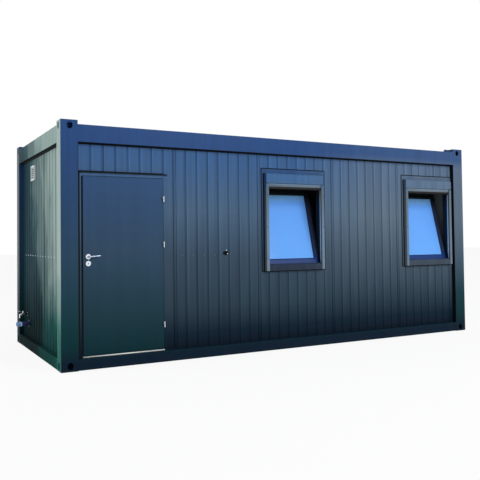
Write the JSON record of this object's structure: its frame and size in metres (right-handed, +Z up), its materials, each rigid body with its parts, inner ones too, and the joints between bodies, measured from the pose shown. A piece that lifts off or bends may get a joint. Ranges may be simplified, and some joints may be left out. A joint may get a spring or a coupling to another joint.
{
  "type": "toilet cabin",
  "caption": "Portable sanitary cabin: insulated room in a steel container frame with corner castings, a hinged door with lever, tilted windows with roller shutters, a tap, a drain and a vent.",
  "frame": {"origin": "ground level under the middle of the steel frame, at the centre of the four lower twist-lock slots", "axes": "+Z up, +X along the length towards the windows' end, -Y out of the front wall with the door"},
  "size_m": [6.166, 2.446, 2.7],
  "materials": {
    "frame_paint": "semi-gloss anthracite blue paint",
    "panel_paint": "semi-gloss anthracite blue coating",
    "door_paint": "semi-gloss anthracite blue coating",
    "galvanised": "galvanised sheet",
    "deck_board": "grey sheet flooring on plywood",
    "white_lining": "white coated lining",
    "threshold_metal": "mill finish",
    "handle_steel": "satin stainless steel",
    "black_rubber": "matt rubber",
    "window_trim": "semi-gloss anthracite blue paint",
    "window_plastic": "dark foil on plastic profile",
    "pane_glass": "double pane",
    "shutter_metal": "satin coated aluminium",
    "tap_chrome": "nickel plated brass",
    "drain_plastic": "blue plastic",
    "vent_white": "white plastic"
  },
  "bodies": {
    "cabin": {"bottom_castings": "frame_paint", "top_castings": "frame_paint", "front_left_post": "frame_paint", "front_right_post": "frame_paint", "back_left_post": "frame_paint", "back_right_post": "frame_paint", "floor_beam_front": "frame_paint", "floor_beam_back": "frame_paint", "floor_beam_left": "frame_paint", "floor_beam_right": "frame_paint", "floor_joists": "galvanised", "floor_deck": "deck_board", "roof_beam_front": "frame_paint", "roof_beam_back": "frame_paint", "roof_beam_left": "frame_paint", "roof_beam_right": "frame_paint", "roof_sheet": "galvanised", "ceiling_panel": "white_lining", "back_panels": "panel_paint", "left_end_panels": "panel_paint", "right_end_panels": "panel_paint", "front_panel_left": "panel_paint", "front_panel_middle": "panel_paint", "left_window_panel": "panel_paint", "right_window_panel": "panel_paint", "door_header_panel": "panel_paint", "door_side_panel": "panel_paint", "door_frame": "door_paint", "door_threshold": "threshold_metal", "hinge_frame_halves": "handle_steel", "door_buffer": "black_rubber", "window_surrounds": "window_trim", "window_frames": "window_plastic", "window_sashes": "window_plastic", "window_panes": "pane_glass", "shutter_boxes": "shutter_metal", "shutter_guides": "shutter_metal", "shutter_bars": "shutter_metal", "water_tap": "tap_chrome", "drain_pipe": "drain_plastic", "vent_grille": "vent_white"},
    "door": {"door_leaf": "door_paint", "door_roses": "handle_steel", "hinge_leaf_halves": "handle_steel"},
    "lever": {"door_lever": "handle_steel"},
    "tap_key": {"tap_handle": "tap_chrome"}
  },
  "joints": [
    {"name": "door_swing", "type": "hinge", "parent": "cabin", "child": "door", "pos_m": [-1.8255, -1.185, 1.1], "axis": [0, 0, 1], "range_deg": [0, 175]},
    {"name": "lever_turn", "type": "hinge", "parent": "door", "child": "lever", "pos_m": [-2.718, -1.175, 1.22], "axis": [0, 1, 0], "range_deg": [0, 45], "stiffness_Nm_per_rad": 2, "springref_deg": -34.38},
    {"name": "tap_turn", "type": "hinge", "parent": "cabin", "child": "tap_key", "pos_m": [-3.032, 0.781, 0.46], "axis": [0, 0, 1], "range_deg": [0, 90]}
  ]
}
